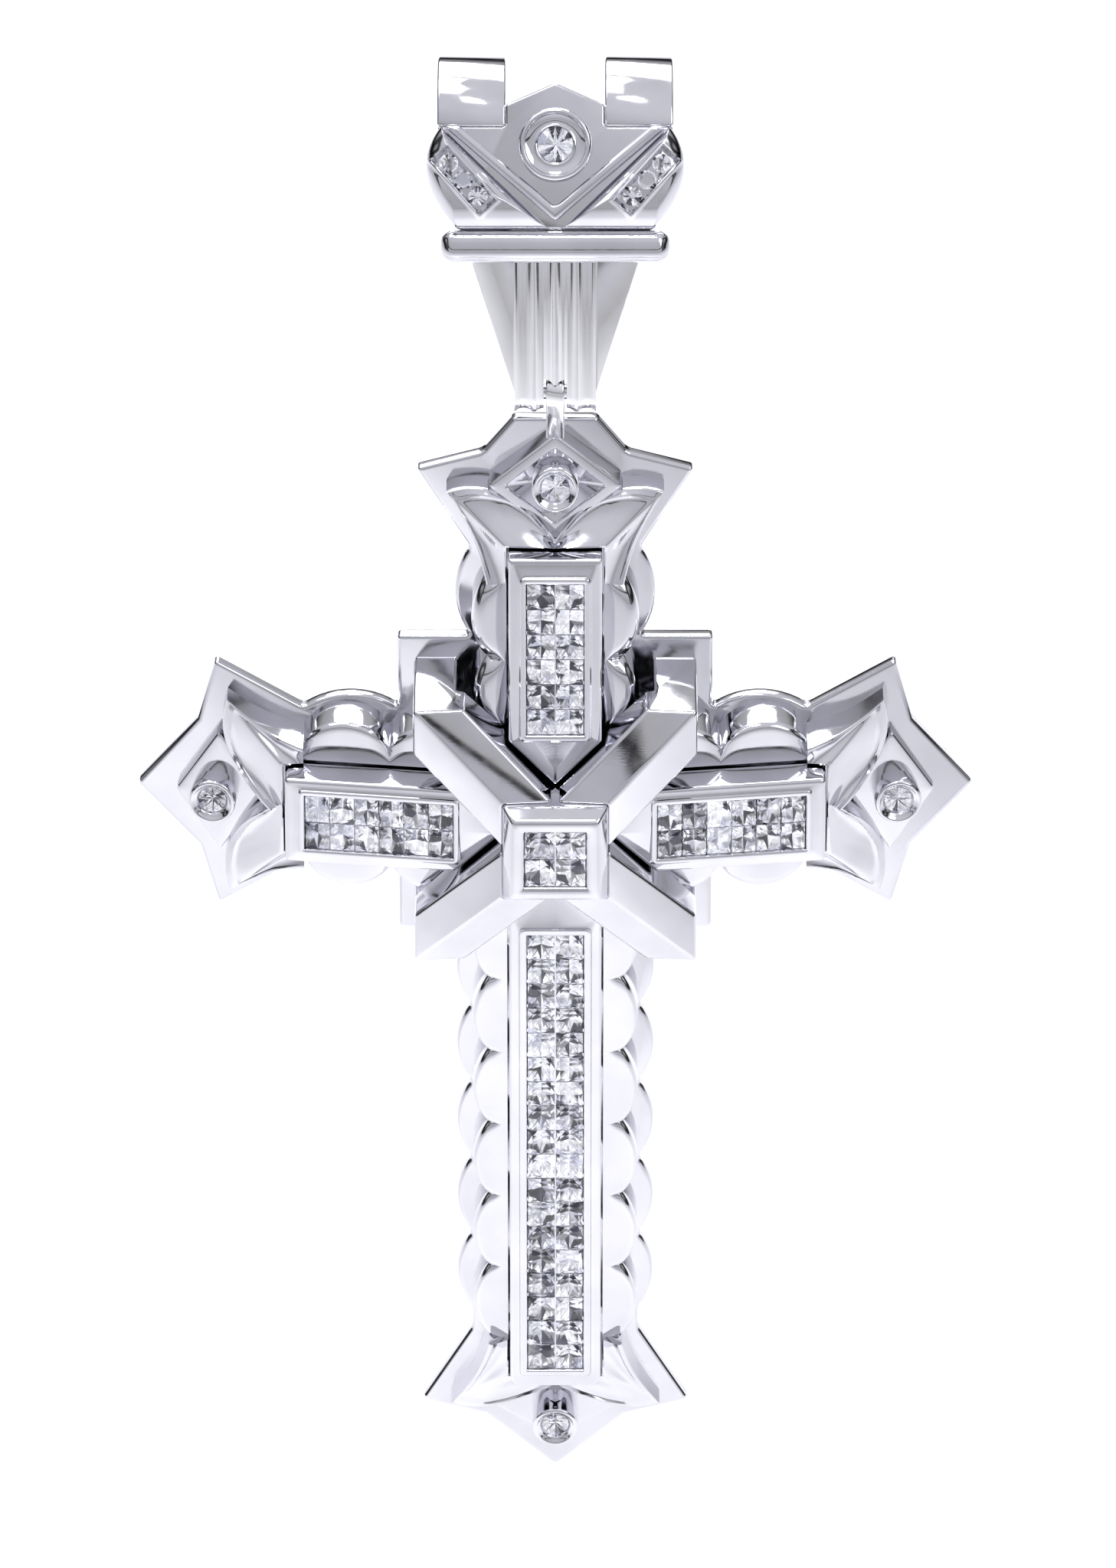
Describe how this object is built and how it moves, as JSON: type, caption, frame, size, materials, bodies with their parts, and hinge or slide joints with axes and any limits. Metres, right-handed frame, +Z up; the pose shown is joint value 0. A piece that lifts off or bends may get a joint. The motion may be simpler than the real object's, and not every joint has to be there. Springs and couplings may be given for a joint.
{
  "type": "cross pendant",
  "caption": "Large layered cross pendant with scalloped arms, stone-set bars, roofed rays and a split-loop bail that swings on a hinge pin.",
  "frame": {"origin": "middle of the crossing on the flat back face of the back plate", "axes": "+Z up the cross to the bail, as it hangs; +Y out of the flat back; the set front faces -Y; +X to the viewer's right"},
  "size_m": [0.0554, 0.0214, 0.1027],
  "materials": {
    "white_gold": "polished",
    "diamond": "polished"
  },
  "bodies": {
    "bail": {"bail_arm_left": "white_gold", "bail_arm_right": "white_gold", "bail_back_strap": "white_gold", "bail_bezel": "white_gold", "bail_bezel_stone": "diamond", "bail_chevron": "white_gold", "bail_left_stones": "diamond", "bail_moulding": "white_gold", "bail_neck": "white_gold", "bail_right_stones": "diamond", "bail_shield": "white_gold", "bail_wing_left": "white_gold", "bail_wing_right": "white_gold", "hinge_pin": "white_gold"},
    "cross": {"back_plate": "white_gold", "bottom_arm_body": "white_gold", "bottom_bar_frame": "white_gold", "bottom_bar_rails": "white_gold", "bottom_bar_stones": "diamond", "bottom_bezel": "white_gold", "bottom_bezel_stone": "diamond", "bottom_petal_cap": "white_gold", "bottom_tip_plate": "white_gold", "centre_block": "white_gold", "centre_rails": "white_gold", "centre_stones": "diamond", "core_block": "white_gold", "hanging_loop": "white_gold", "left_arm_body": "white_gold", "left_bar_frame": "white_gold", "left_bar_rails": "white_gold", "left_bar_stones": "diamond", "left_bezel": "white_gold", "left_bezel_stone": "diamond", "left_petal_cap": "white_gold", "left_tip_plate": "white_gold", "ray_lower_left": "white_gold", "ray_lower_right": "white_gold", "ray_upper_left": "white_gold", "ray_upper_right": "white_gold", "right_arm_body": "white_gold", "right_bar_frame": "white_gold", "right_bar_rails": "white_gold", "right_bar_stones": "diamond", "right_bezel": "white_gold", "right_bezel_stone": "diamond", "right_petal_cap": "white_gold", "right_tip_plate": "white_gold", "top_arm_body": "white_gold", "top_bar_frame": "white_gold", "top_bar_rails": "white_gold", "top_bar_stones": "diamond", "top_bezel": "white_gold", "top_bezel_stone": "diamond", "top_petal_cap": "white_gold", "top_tip_plate": "white_gold"}
  },
  "joints": [
    {"name": "bail_swing", "type": "hinge", "parent": "bail", "child": "cross", "pos_m": [0, -0.0034, 0.0299], "axis": [1, 0, 0], "range_deg": [-90, 70]}
  ]
}
